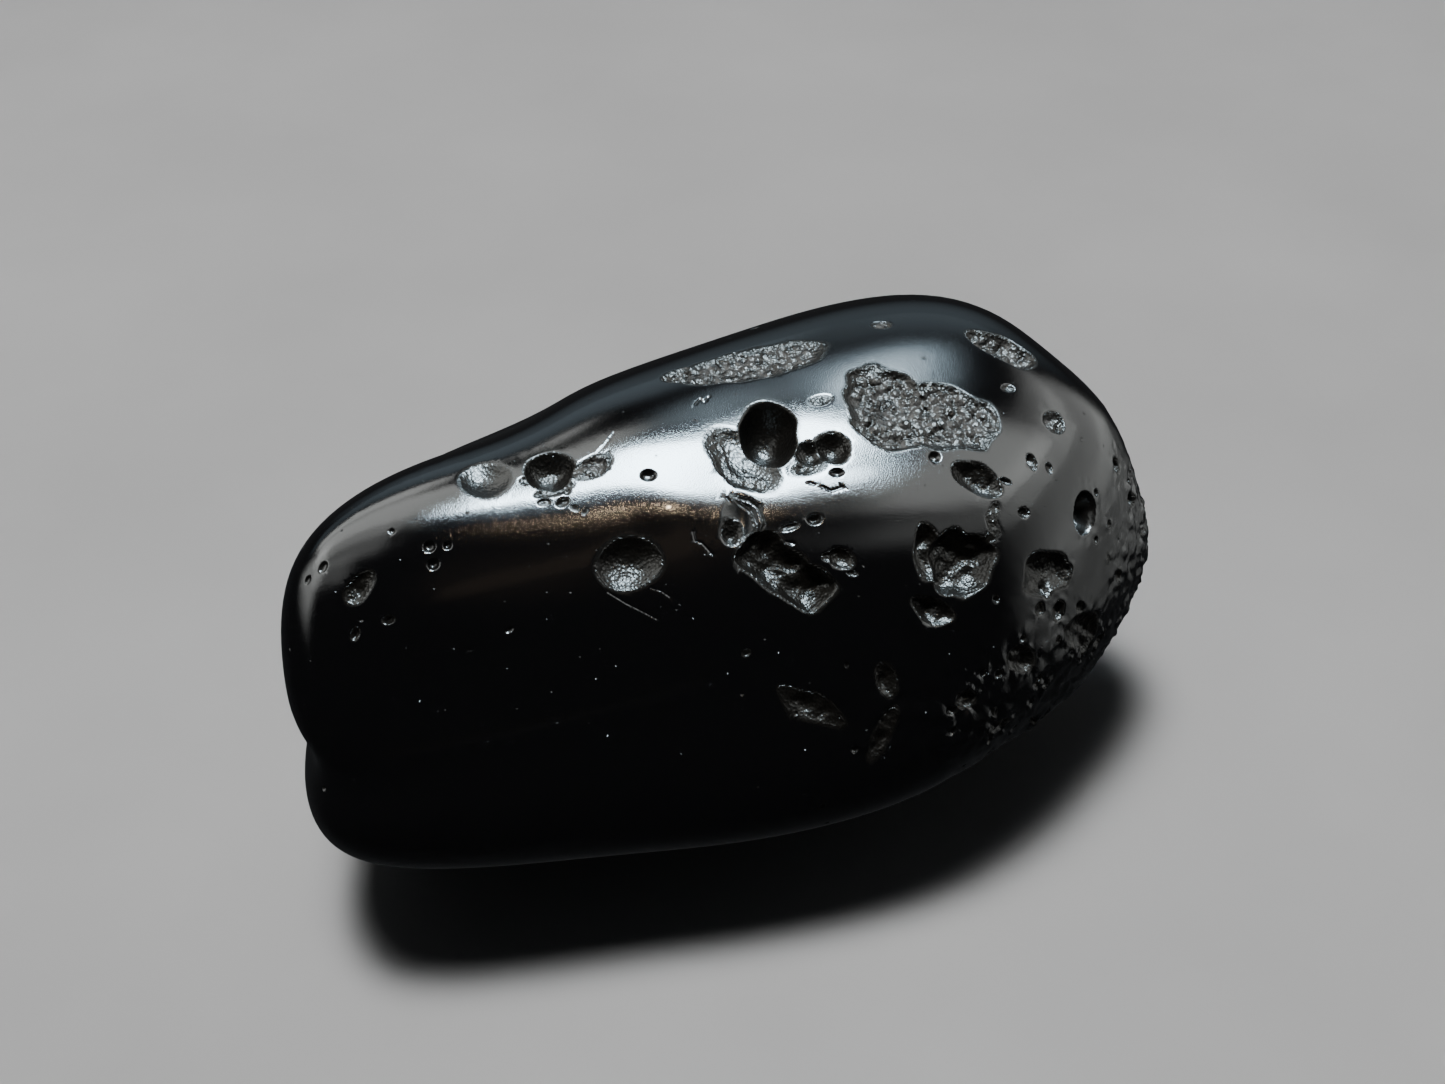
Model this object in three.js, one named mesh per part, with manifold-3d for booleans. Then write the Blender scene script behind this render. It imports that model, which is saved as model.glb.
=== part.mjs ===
// A tumbled tektite: one pebble of black natural glass, worn smooth in a tumbler, with the gas pits
// and etched craters of the raw glass left open in its skin.
//
// Millimetres, +Z up. +X runs along the stone to its blunt, heavily pitted end, -X to its narrow,
// smooth end, and -Y is the broad front face. The origin is on the ground, under the middle of the
// stone's box. The stone lies on a small flat of its underside.

import * as THREE from 'three';
import { mergeVertices } from 'three/addons/utils/BufferGeometryUtils.js';
import Module from 'manifold-3d';

// ---- Driving dimensions -------------------------------------------------------------------------

// The heart of the stone: every direction below is measured from it.
const HEART = new THREE.Vector3(-0.4, 0.1, 8.5);

// The stone is a polyhedron of broad faces with its edges and corners worn round. The higher the
// wear exponent, the sharper the edges that are left.
const WEAR = 8;
const FACES = {
  // name: [azimuth and elevation of the face in degrees, distance from the heart in mm]
  underside: [0, -90, 9.0],
  front: [-98, 25, 8.25],
  brow: [-82, 68, 8.6],
  frontRight: [-60, 20, 11.3],
  frontLow: [-104, -50, 8.95],
  rightUnder: [-66, -42, 10.5],
  rightLow: [-47, -30, 13.8],
  rightTip: [-14, 6, 17.8],
  rightCrown: [19, 39, 14.9],
  crown: [67, 52, 11.9],
  top: [60, 86, 9.4],
  backSlope: [104, 47, 7.7],
  leftShoulder: [133, 30, 11.4],
  leftEnd: [168, -8, 13.85],
  back: [90, 8, 9.6],
  backLow: [92, -38, 9.6],
  backRight: [40, -5, 13.0],
};

// Broad swells and hollows of the worn skin.
const UNDULATIONS = {
  // name: [azimuth, elevation, half-length and half-width in degrees, turn from level, height in mm]
  endGroove: [-172, 0, 20, 4, 6, -0.6],
  toe: [-168, -12, 11, 9, 0, 0.5],
  haunch: [-24, -20, 13, 8, 0, 0.45],
  shoulderDip: [-2, 10, 12, 8, 0, -0.35],
  crestDip: [168, 44, 22, 14, 15, -0.6],
  crownDip: [1, 24, 11, 9, 0, -0.5],
};

// Pits and craters. A smooth gas pit is one bowl; a rough crater has further bowls inside its rim.
const PITS = {
  // name: [azimuth, elevation, length, width and depth in mm, turn from lengthwise, further bowls]
  ridgeHole: [-70, 69, 2.5, 1.9, 1.3, 74, 0],
  ridgeLedge: [-92, 65, 2.8, 1.6, 0.25, -62, 0],
  ridgePairBig: [-53, 57.5, 1.15, 1.15, 0.45, 0, 0],
  ridgePairSmall: [-61.5, 59.8, 1, 0.9, 0.35, 0, 0],
  craterRound: [-23, 54, 2.75, 2.6, 0.45, 0, 0],
  craterLong: [-25, 43.5, 3.5, 2.7, 0.32, -19, 0],
  craterFoot: [-35, 51, 2.5, 1.5, 0.35, -30, 0],
  slopeStrip: [9, 79, 5.2, 1.7, 0.3, 3, 0],
  slopeStripEnd: [155, 83, 1.2, 0.9, 0.3, 0, 0],
  shoulderStrip: [-3, 36, 2.6, 1.4, 0.5, -39, 2],
  shoulderPip: [-18, 29, 0.9, 0.8, 0.25, 0, 0],
  shoulderOval: [-36, 34, 1.9, 0.95, 0.35, -37, 2],
  leftBowl: [-164, 43, 1.6, 1.4, 0.24, -10, 0],
  ridgeBowl: [-157, 50, 1.6, 1.4, 0.6, 11, 0],
  ridgeLobe: [-150, 54.5, 1.4, 0.75, 0.15, 20, 0],
  frontBowl: [-130, 40, 2.1, 1.6, 0.4, -8, 0],
  grooveShell: [-99, 51, 1.5, 1, 0.12, 75, 0],
  frontCraterHigh: [-91, 41, 2.4, 1.5, 0.55, -48, 2],
  frontCraterLow: [-83, 34, 1.9, 1.4, 0.6, -43, 1],
  frontChip: [-73, 37, 0.9, 0.6, 0.25, -30, 0],
  cheekCrater: [-50, 25, 2.4, 2.1, 0.7, 7, 2],
  cheekSlot: [-54.3, 30.5, 1.8, 1.05, 0.45, 80, 0],
  cheekFoot: [-59, 20, 1.6, 0.7, 0.3, -32, 0],
  endHole: [-26, 17, 1.5, 1.2, 0.8, 76, 0],
  endRough: [-37, 14, 2.2, 1.5, 0.35, -16, 3],
  endRing: [-33, 0, 2.2, 1.5, 0.35, -30, 0],
  endTipPit: [-8, 4, 1.8, 1.5, 0.5, 60, 1],
  endBackPit: [22, 10, 2.6, 1.9, 0.6, 20, 2],
  endLowPit: [-14, -22, 2.2, 1.4, 0.4, 15, 0],
  lowPatch: [-88, 8, 2.5, 0.8, 0.12, -40, 0],
  lowHook: [-72, 10, 1.2, 0.7, 0.15, -74, 0],
  lowStreak: [-75, 0, 1.9, 0.7, 0.12, 57, 0],
  lowCheek: [-47, 4, 1.4, 0.9, 0.25, -30, 0],
  backCrater: [72, 24, 3.2, 2.3, 0.6, 25, 3],
  backBowl: [112, 34, 2, 1.7, 0.5, -20, 0],
  backHole: [96, 6, 1.5, 1.2, 0.8, 60, 0],
  backSlot: [134, 10, 2.4, 0.8, 0.35, 10, 0],
  backFoot: [62, -18, 2, 1.4, 0.4, -30, 1],
  leftPit: [-162, 25, 1.2, 0.6, 0.2, 36, 0],
  leftEndPit: [164, 8, 1.4, 1, 0.35, 30, 0],
  leftBackPit: [146, -14, 1.6, 1.2, 0.4, -10, 0],
  underFrontPit: [-118, -38, 1.4, 1.1, 0.4, 20, 0],
  underBackPit: [84, -44, 2, 1.5, 0.45, -15, 0],
};

// A rough crater's further bowls, as shares of the crater's own length, width and depth.
const BOWL_REACH = 0.6;
const BOWL_SIZE = 0.5;
const BOWL_DEPTH = 0.85;
const BOWL_START = 0.6;
const BOWL_STRETCH = 0.25;

// How finely the surfaces are faceted: splits of an icosahedron's edges.
const BODY_SPLITS = 10;
const BIG_PIT_SPLITS = 2;
const SMALL_PIT_SPLITS = 1;
const BIG_PIT_LENGTH = 1.8;

// Everything under the ground plane is cut away, within a block this wide and deep.
const CUT_WIDTH = 60;
const CUT_DEPTH = 10;

const GLASS_COLOUR = 0x0b0b0c;
const GLASS_ROUGHNESS = 0.12;

// ---- The worn body ------------------------------------------------------------------------------

const UP = new THREE.Vector3(0, 0, 1);
const LENGTHWISE = new THREE.Vector3(1, 0, 0);

function unitVector(azimuth, elevation) {
  const polar = THREE.MathUtils.degToRad(90 - elevation);
  const turn = THREE.MathUtils.degToRad(azimuth);
  return new THREE.Vector3(
    Math.sin(polar) * Math.cos(turn),
    Math.sin(polar) * Math.sin(turn),
    Math.cos(polar),
  );
}

const faces = Object.values(FACES).map(([azimuth, elevation, distance]) => ({
  normal: unitVector(azimuth, elevation),
  distance,
}));

const undulations = Object.values(UNDULATIONS).map(
  ([azimuth, elevation, halfLength, halfWidth, turn, height]) => {
    const centre = unitVector(azimuth, elevation);
    const east = new THREE.Vector3().crossVectors(UP, centre).normalize();
    const along = east.applyAxisAngle(centre, THREE.MathUtils.degToRad(turn));
    const across = new THREE.Vector3().crossVectors(centre, along);
    return { centre, along, across, halfLength, halfWidth, height };
  },
);

// The angle in degrees by which a direction leans from a spot's centre, along one of its axes.
function lean(direction, axis, centre) {
  return THREE.MathUtils.radToDeg(Math.atan2(direction.dot(axis), direction.dot(centre)));
}

// The distance from the heart to the worn skin, in a unit direction.
function skinRadius(direction) {
  let sum = 0;
  for (const { normal, distance } of faces) {
    sum += (Math.max(direction.dot(normal), 0) / distance) ** WEAR;
  }
  let radius = sum ** (-1 / WEAR);
  for (const { centre, along, across, halfLength, halfWidth, height } of undulations) {
    const x = lean(direction, along, centre) / halfLength;
    const y = lean(direction, across, centre) / halfWidth;
    radius += height * Math.exp(-(x * x + y * y));
  }
  return radius;
}

function skinPoint(direction) {
  return direction.clone().multiplyScalar(skinRadius(direction)).add(HEART);
}

// A frame that lies on the skin: its outward normal, the direction lengthwise along the stone, and
// the one across it.
function skinFrame(direction) {
  const step = 0.01;
  const east = new THREE.Vector3().crossVectors(UP, direction).normalize();
  const north = new THREE.Vector3().crossVectors(direction, east);
  const ahead = (axis, sign) => skinPoint(direction.clone().addScaledVector(axis, sign * step).normalize());
  const eastward = ahead(east, 1).sub(ahead(east, -1));
  const northward = ahead(north, 1).sub(ahead(north, -1));
  const normal = eastward.cross(northward).normalize();
  const lengthwise = LENGTHWISE.clone().projectOnPlane(normal).normalize();
  const crosswise = new THREE.Vector3().crossVectors(normal, lengthwise);
  return { normal, lengthwise, crosswise };
}

function bodyGeometry() {
  const geometry = new THREE.IcosahedronGeometry(1, BODY_SPLITS);
  const place = geometry.getAttribute('position');
  const direction = new THREE.Vector3();
  for (let i = 0; i < place.count; i += 1) {
    direction.fromBufferAttribute(place, i).normalize();
    const point = skinPoint(direction);
    place.setXYZ(i, point.x, point.y, point.z);
  }
  return geometry;
}

// ---- Pits ---------------------------------------------------------------------------------------

// One bowl: an ellipsoid centred on the skin, so that its lower half is the hollow.
function bowlGeometry(centre, along, across, normal, length, width, depth) {
  const splits = length > BIG_PIT_LENGTH ? BIG_PIT_SPLITS : SMALL_PIT_SPLITS;
  const placing = new THREE.Matrix4().makeBasis(along, across, normal);
  placing.scale(new THREE.Vector3(length / 2, width / 2, depth));
  placing.setPosition(centre);
  return new THREE.IcosahedronGeometry(1, splits).applyMatrix4(placing);
}

function pitBowls([azimuth, elevation, length, width, depth, turn, furtherBowls]) {
  const direction = unitVector(azimuth, elevation);
  const centre = skinPoint(direction);
  const { normal, lengthwise } = skinFrame(direction);
  const along = lengthwise.applyAxisAngle(normal, THREE.MathUtils.degToRad(turn));
  const across = new THREE.Vector3().crossVectors(normal, along);
  const bowls = [bowlGeometry(centre, along, across, normal, length, width, depth)];
  const reach = BOWL_REACH / 2;
  const size = BOWL_SIZE * Math.min(length, width);
  for (let i = 0; i < furtherBowls; i += 1) {
    const angle = BOWL_START + (i * 2 * Math.PI) / furtherBowls;
    const beside = centre
      .clone()
      .addScaledVector(along, Math.cos(angle) * reach * length)
      .addScaledVector(across, Math.sin(angle) * reach * width);
    const onSkin = skinPoint(beside.sub(HEART).normalize());
    const stretched = size * (1 + BOWL_STRETCH * Math.cos(2 * angle));
    bowls.push(bowlGeometry(onSkin, along, across, normal, stretched, size, BOWL_DEPTH * depth));
  }
  return bowls;
}

// ---- Solids -------------------------------------------------------------------------------------

const wasm = await Module();
wasm.setup();

function toSolid(geometry) {
  const bare = geometry.clone();
  bare.deleteAttribute('normal');
  bare.deleteAttribute('uv');
  const merged = mergeVertices(bare);
  const mesh = new wasm.Mesh({
    numProp: 3,
    vertProperties: new Float32Array(merged.getAttribute('position').array),
    triVerts: new Uint32Array(merged.getIndex().array),
  });
  return new wasm.Manifold(mesh);
}

function toGeometry(solid) {
  const { vertProperties, triVerts } = solid.getMesh();
  const geometry = new THREE.BufferGeometry();
  geometry.setAttribute('position', new THREE.BufferAttribute(vertProperties, 3));
  geometry.setIndex(new THREE.BufferAttribute(triVerts, 1));
  geometry.computeVertexNormals();
  return geometry;
}

function groundBlock() {
  return new THREE.BoxGeometry(CUT_WIDTH, CUT_WIDTH, CUT_DEPTH).translate(0, 0, -CUT_DEPTH / 2);
}

function tektite() {
  let solid = toSolid(bodyGeometry()).subtract(toSolid(groundBlock()));
  for (const pit of Object.values(PITS)) {
    for (const bowl of pitBowls(pit)) {
      solid = solid.subtract(toSolid(bowl));
    }
  }
  const glass = new THREE.MeshStandardMaterial({
    color: GLASS_COLOUR,
    roughness: GLASS_ROUGHNESS,
    metalness: 0,
  });
  const mesh = new THREE.Mesh(toGeometry(solid), glass);
  mesh.name = 'tektite';
  return mesh;
}

const part = new THREE.Group();
part.add(tektite());

export default part;
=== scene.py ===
"""A tumbled tektite: one pebble of opaque black natural glass, with gas pits and etched craters.

The stone is made in millimetres from the same worn faces, swells and pits as its solid, then
scaled to metres. +X is its blunt, heavily pitted end, -Y its broad front face, and the origin is
on the ground under its middle.
"""

import math

import bmesh
import bpy
import numpy as np
from mathutils import Matrix, Vector


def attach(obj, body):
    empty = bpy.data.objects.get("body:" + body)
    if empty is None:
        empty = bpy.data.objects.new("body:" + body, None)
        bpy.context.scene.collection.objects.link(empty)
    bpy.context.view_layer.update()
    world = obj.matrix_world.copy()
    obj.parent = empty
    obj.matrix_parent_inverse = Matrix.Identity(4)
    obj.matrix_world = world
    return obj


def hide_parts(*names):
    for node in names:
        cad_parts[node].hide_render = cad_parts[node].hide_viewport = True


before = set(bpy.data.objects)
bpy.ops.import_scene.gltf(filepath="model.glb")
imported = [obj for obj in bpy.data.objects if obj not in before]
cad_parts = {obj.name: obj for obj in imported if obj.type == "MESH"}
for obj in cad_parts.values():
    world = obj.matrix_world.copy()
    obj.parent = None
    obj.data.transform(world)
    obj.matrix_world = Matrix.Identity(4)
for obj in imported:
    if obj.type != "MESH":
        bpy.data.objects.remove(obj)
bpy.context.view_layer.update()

MM = 0.001

# ---- The stone's sizes, in millimetres and degrees ----------------------------------------------

# The heart of the stone, from which every direction is measured.
HEART = np.array([-0.4, 0.1, 8.5])

# The stone is a polyhedron of broad faces with its edges worn round. A higher exponent leaves the
# edges sharper.
WEAR = 8
# name: azimuth and elevation of the face, distance from the heart
FACES = {
    "underside": (0, -90, 9.0),
    "front": (-98, 25, 8.25),
    "brow": (-82, 68, 8.6),
    "front_right": (-60, 20, 11.3),
    "front_low": (-104, -50, 8.95),
    "right_under": (-66, -42, 10.5),
    "right_low": (-47, -30, 13.8),
    "right_tip": (-14, 6, 17.8),
    "right_crown": (19, 39, 14.9),
    "crown": (67, 52, 11.9),
    "top": (60, 86, 9.4),
    "back_slope": (104, 47, 7.7),
    "left_shoulder": (133, 30, 11.4),
    "left_end": (168, -8, 13.85),
    "back": (90, 8, 9.6),
    "back_low": (92, -38, 9.6),
    "back_right": (40, -5, 13.0),
}

# Broad swells and hollows that the solid has too.
# name: azimuth, elevation, half-length, half-width, turn from level, height
UNDULATIONS = {
    "end_groove": (-172, 0, 20, 4, 6, -0.6),
    "toe": (-168, -12, 11, 9, 0, 0.5),
    "haunch": (-24, -20, 13, 8, 0, 0.45),
    "shoulder_dip": (-2, 10, 12, 8, 0, -0.35),
    "crest_dip": (168, 44, 22, 14, 15, -0.6),
    "crown_dip": (1, 24, 11, 9, 0, -0.5),
}

# Low unevenness of the skin that bends its reflections, given in the same way.
RIPPLES = {
    "hole_basin": (-84, 67, 13, 10, 20, -0.10),
    "brow_hollow": (-127, 46, 9, 8, 0, -0.05),
    "brow_swell": (-88, 51, 10, 7, 0, 0.04),
    "ridge_swell": (-30, 66, 12, 10, 0, 0.05),
    "brow_bump": (-122.6, 52.1, 7, 6, 0, 0.05),
}

# What the hollows are like.
# name: how flat the floor is, how far the outline wanders as a share of the width, and how lumpy,
# how etched and how frosted the inside is; the frosting also dims the reflection there, as painted shade
KINDS = {
    "smooth": (2.2, 0.02, 0.0, 0.0, 0.15),
    "bowl": (3.0, 0.015, 0.3, 0.0, 0.45),
    "matte": (2.4, 0.02, 0.15, 0.0, 0.8),
    "dull": (2.8, 0.02, 0.6, 0.0, 0.9),
    "rough": (3.2, 0.05, 0.9, 0.0, 0.9),
    "etched": (4.0, 0.03, 0.6, 1.0, 1.0),
    "scratch": (2.0, 0.0, 0.0, 0.0, 0.12),
}

# Pits that the solid has too.
# name: azimuth, elevation, length, width, depth, turn from lengthwise, further bowls, kind
PITS = {
    "ridge_hole": (-70, 69, 2.5, 1.9, 1.3, 74, 0, "matte"),
    "ridge_ledge": (-92, 65, 2.8, 1.6, 0.25, -62, 0, "matte"),
    "ridge_pair_big": (-53, 57.5, 1.15, 1.15, 0.45, 0, 0, "dull"),
    "ridge_pair_small": (-61.5, 59.8, 1.0, 0.9, 0.35, 0, 0, "dull"),
    "crater_round": (-23, 54, 2.75, 2.6, 0.45, 0, 0, "etched"),
    "crater_long": (-25, 43.5, 3.5, 2.7, 0.32, -19, 0, "etched"),
    "crater_foot": (-35, 51, 2.5, 1.5, 0.35, -30, 0, "etched"),
    "slope_strip": (9, 79, 5.2, 1.7, 0.3, 3, 0, "etched"),
    "slope_strip_end": (155, 83, 1.2, 0.9, 0.3, 0, 0, "etched"),
    "shoulder_strip": (-3, 36, 2.6, 1.4, 0.5, -39, 2, "etched"),
    "shoulder_pip": (-18, 29, 0.9, 0.8, 0.25, 0, 0, "etched"),
    "shoulder_oval": (-36, 34, 1.9, 0.95, 0.35, -37, 2, "rough"),
    "left_bowl": (-164, 43, 1.6, 1.4, 0.24, -10, 0, "matte"),
    "ridge_bowl": (-157, 50, 1.6, 1.4, 0.6, 11, 0, "dull"),
    "ridge_lobe": (-150, 54.5, 1.4, 0.75, 0.15, 20, 0, "etched"),
    "front_bowl": (-130, 40, 2.1, 1.6, 0.40, -8, 0, "dull"),
    "groove_shell": (-99, 51, 1.5, 1.0, 0.12, 75, 0, "smooth"),
    "front_crater_high": (-91, 41, 2.4, 1.5, 0.55, -48, 2, "rough"),
    "front_crater_low": (-83, 34, 1.9, 1.4, 0.6, -43, 1, "rough"),
    "front_chip": (-73, 37, 0.9, 0.6, 0.25, -30, 0, "rough"),
    "cheek_crater": (-50, 25, 2.4, 2.1, 0.7, 7, 2, "rough"),
    "cheek_slot": (-54.3, 30.5, 1.8, 1.05, 0.45, 80, 0, "rough"),
    "cheek_foot": (-59, 20, 1.6, 0.7, 0.3, -32, 0, "rough"),
    "end_hole": (-26, 17, 1.5, 1.2, 0.8, 76, 0, "bowl"),
    "end_rough": (-37, 14, 2.2, 1.5, 0.35, -16, 3, "rough"),
    "end_ring": (-33, 0, 2.2, 1.5, 0.35, -30, 0, "rough"),
    "end_tip_pit": (-8, 4, 1.8, 1.5, 0.5, 60, 1, "rough"),
    "end_back_pit": (22, 10, 2.6, 1.9, 0.6, 20, 2, "etched"),
    "end_low_pit": (-14, -22, 2.2, 1.4, 0.4, 15, 0, "rough"),
    "low_patch": (-88, 8, 2.5, 0.8, 0.12, -40, 0, "rough"),
    "low_hook": (-72, 10, 1.2, 0.7, 0.15, -74, 0, "rough"),
    "low_streak": (-75, 0, 1.9, 0.7, 0.12, 57, 0, "rough"),
    "low_cheek": (-47, 4, 1.4, 0.9, 0.25, -30, 0, "rough"),
    "back_crater": (72, 24, 3.2, 2.3, 0.6, 25, 3, "etched"),
    "back_bowl": (112, 34, 2.0, 1.7, 0.5, -20, 0, "bowl"),
    "back_hole": (96, 6, 1.5, 1.2, 0.8, 60, 0, "bowl"),
    "back_slot": (134, 10, 2.4, 0.8, 0.35, 10, 0, "rough"),
    "back_foot": (62, -18, 2.0, 1.4, 0.4, -30, 1, "rough"),
    "left_pit": (-162, 25, 1.2, 0.6, 0.2, 36, 0, "rough"),
    "left_end_pit": (164, 8, 1.4, 1.0, 0.35, 30, 0, "bowl"),
    "left_back_pit": (146, -14, 1.6, 1.2, 0.4, -10, 0, "bowl"),
    "under_front_pit": (-118, -38, 1.4, 1.1, 0.4, 20, 0, "bowl"),
    "under_back_pit": (84, -44, 2.0, 1.5, 0.45, -15, 0, "bowl"),
}

# A rough crater's further bowls, as shares of the crater's own length, width and depth.
BOWL_REACH = 0.6
BOWL_SIZE = 0.5
BOWL_DEPTH = 0.85
BOWL_START = 0.6
BOWL_STRETCH = 0.25

# Small single pits.
# name: azimuth, elevation, length, width, depth, turn from lengthwise, kind
CRUMBS = {
    "brow_pip": (-133, 58, 0.5, 0.4, 0.20, -4, "bowl"),
    "shell_pit": (-102.5, 48.7, 0.85, 0.65, 0.20, 75, "rough"),
    "pair_patch": (-67, 57.5, 1.15, 0.60, 0.03, 0, "rough"),
    "pair_oval": (-59.6, 53.1, 0.50, 0.28, 0.14, -12, "bowl"),
    "crater_pip": (-37, 41.9, 0.42, 0.36, 0.16, 0, "bowl"),
    "ridge_scuff": (-33, 65.2, 0.7, 0.45, 0.03, 10, "rough"),
    "ridge_flat": (-152.5, 47.6, 1.25, 0.40, 0.10, 5, "rough"),
    "ridge_flat_left": (-158.5, 46.5, 0.50, 0.30, 0.08, -10, "rough"),
    "chip_right": (-71.8, 33.5, 0.40, 0.20, 0.08, -20, "rough"),
    "chip_left": (-76, 38.5, 0.45, 0.30, 0.12, -20, "rough"),
    "brow_crumb": (-83.6, 47.2, 0.70, 0.24, 0.10, 5, "rough"),
    "brow_crumb_right": (-75.2, 46.9, 0.48, 0.40, 0.16, -12, "rough"),
    "brow_fleck": (-85, 44, 0.40, 0.14, 0.06, -25, "scratch"),
    "bubble_low": (-159.5, 32.4, 0.38, 0.36, 0.16, 0, "bowl"),
    "bubble_high": (-158, 33.4, 0.28, 0.27, 0.12, 0, "bowl"),
    "bubble_left": (-157.7, 30.6, 0.38, 0.36, 0.16, 0, "bowl"),
    "crumb_1": (-152, 45, 0.42, 0.25, 0.12, -13, "rough"),
    "crumb_2": (-149, 46.3, 0.45, 0.30, 0.14, 10, "rough"),
    "crumb_3": (-150, 48.4, 0.30, 0.20, 0.08, 30, "rough"),
    "crumb_4": (-146, 46.2, 0.32, 0.14, 0.06, -40, "rough"),
    "crumb_5": (-143.6, 46.4, 0.25, 0.15, 0.06, 40, "rough"),
    "lobe_crumb": (-146.5, 55.6, 0.35, 0.22, 0.10, 0, "rough"),
    "lobe_streak": (-149.5, 58, 0.45, 0.16, 0.07, 45, "rough"),
    "left_tiny": (-166.4, 25.5, 0.40, 0.25, 0.08, 40, "bowl"),
    "left_tiny_low": (-167, 23.5, 0.30, 0.20, 0.08, 40, "bowl"),
    "left_crumb": (-160, 20, 0.5, 0.3, 0.10, 60, "rough"),
    "left_crumb_2": (-158, 22.5, 0.42, 0.3, 0.12, 0, "rough"),
    "back_pip": (10, 51, 0.7, 0.45, 0.12, -13, "etched"),
    "shoulder_crumb": (-14, 36, 0.5, 0.35, 0.12, 0, "rough"),
    "facet_crumb": (-27, 29, 0.6, 0.35, 0.14, -80, "rough"),
    "facet_crumb_low": (-26, 26.4, 0.4, 0.28, 0.10, -80, "rough"),
    "facet_crumb_left": (-35, 25, 0.45, 0.32, 0.15, -11, "rough"),
    "oval_crumb": (-33, 30.5, 0.45, 0.22, 0.10, -30, "rough"),
    "end_crumb": (-41, 10, 0.45, 0.4, 0.12, 0, "rough"),
    "mid_fleck": (-146, 24.5, 0.30, 0.16, 0.08, 20, "bowl"),
    "mid_fleck_low": (-101, 22, 0.32, 0.26, 0.08, 20, "rough"),
}

# Grooves and scratches.
# name: width, depth, kind, then the azimuth and elevation of each point that it passes
GROOVES = {
    "ledge_rim": (0.52, 0.16, "rough", (-105, 68.4), (-103, 63.8), (-97, 60.2), (-88.6, 58.1)),
    "shell_outer": (
        0.13, 0.05, "rough",
        (-101, 56.6), (-94.4, 55.0), (-92.1, 53.2), (-91.7, 49.1), (-94, 46.8),
    ),
    "shell_middle": (0.13, 0.05, "rough", (-100.4, 55.6), (-95.6, 52.9), (-94.6, 49.4), (-96, 47)),
    "shell_inner": (0.10, 0.04, "scratch", (-103.4, 56.2), (-99, 52.4), (-97.6, 48.4), (-97.8, 44.5)),
    "crease": (
        0.30, 0.016, "scratch",
        (-154, 5.8), (-152, 6.7), (-141.4, 9.2), (-125.4, 13.8), (-111.8, 16.8),
    ),
    "jay": (0.38, 0.04, "rough", (-38.2, 28.8), (-40.2, 28.2), (-41.2, 26.2), (-43.3, 25.7)),
    "vee": (0.10, 0.05, "scratch", (-67.5, 52.6), (-65.4, 50.5), (-61.6, 49.9)),
    "dash": (0.10, 0.05, "scratch", (-70.4, 54.6), (-68.9, 53.6)),
    "squiggle": (0.08, 0.03, "scratch", (-126.4, 79.4), (-123.2, 81.5), (-116.5, 80.6), (-111.6, 82.5)),
    "bowl_scratch": (0.08, 0.03, "scratch", (-132.9, 34), (-128.9, 32.5), (-124.9, 31.2), (-121.9, 30)),
    "bowl_scratch_right": (0.08, 0.03, "scratch", (-124.1, 36.1), (-121.5, 35.7), (-119.5, 34.7)),
    "brow_scratch": (0.07, 0.03, "scratch", (-114.8, 48.5), (-114, 46.5), (-111.9, 46.2), (-108.7, 43.8)),
    "lobe_scratch": (0.06, 0.015, "scratch", (-152.3, 57.4), (-152.8, 59.7), (-154.9, 62.9)),
}

# Scattered pits.
# name: azimuth, elevation, half-length and half-width of the spread, how many, smallest size,
# largest size, kind
SCATTERS = {
    "rough_end": (-38, 2, 20, 18, 30, 0.28, 1.00, "rough"),
    "tip": (-12, 2, 14, 20, 18, 0.25, 0.80, "rough"),
    "low_cheek": (-74, -4, 22, 16, 10, 0.20, 0.40, "bowl"),
    "back": (95, 10, 50, 40, 22, 0.22, 0.50, "bowl"),
    "left_end": (175, 0, 26, 30, 10, 0.20, 0.36, "bowl"),
}
SCATTER_SEED = 41
# The spread's half-length and half-width are this many times its standard deviation.
SCATTER_TIGHTNESS = 1.5
# The higher this is, the more of the pits are near the smallest size.
SCATTER_SMALLNESS = 2.5
# The least width and the depth, as shares of a pit's length and width.
SCATTER_FLATTEST = 0.5
SCATTER_DEPTH = 0.35

# Patches of wrinkled skin. The first is smooth and only has fine facets, for a clear reflection.
# name: azimuth, elevation, half-length, half-width, turn from level, height of the wrinkles
WRINKLES = {
    "brow_bump": (-122.6, 52.1, 7, 6, 0, 0.0),
    "cheek": (-60, -2, 18, 13, -20, 0.05),
    "low_right": (-38, -12, 20, 14, 0, 0.07),
    "end": (-14, -4, 14, 18, 0, 0.06),
    "back_end": (35, -8, 20, 16, 0, 0.05),
}
WRINKLE_WIDTH = 0.9
WRINKLE_SEEDS = (21, 22)
# The finer wrinkles on them, as shares of their width and height.
FINE_WRINKLE_WIDTH = 0.4
FINE_WRINKLE_HEIGHT = 0.5
# A patch has fine facets where it is at least this strong.
WRINKLED_FROM = 0.35

# A slow unevenness of the whole skin.
SWELL_WIDTH = 6.0
SWELL_HEIGHT = 0.012
SWELL_SEED = 31

# How round the rims of hollows are worn: at most this, and at most this share of the width.
RIM_ROUND = 0.09
RIM_SHARE = 0.14
SCRATCH_RIM = 0.008
# The wander of their outlines, and the lumps on their floors.
WANDER_WIDTH = 1.3
WANDER_SEEDS = (11, 12, 13)
LUMP_WIDTH = 0.7
LUMP_HEIGHT = 0.045
LUMP_SEED = 14
# Lumps fade from full to nothing between these shares of the way to the outline.
LUMPS_FULL = 5 / 12
LUMPS_GONE = 5 / 6
# Beyond this share of the way to the outline, a hollow's depth changes no more.
FARTHEST_SHARE = 2
# Frosting starts outside the outline, this share of the depth above its level, and is full after
# the spread. Etching starts inside.
FROST_START = 0.45
FROST_SPREAD = 0.40
ETCH_START = 0.25
ETCH_SPREAD = 0.35

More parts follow.
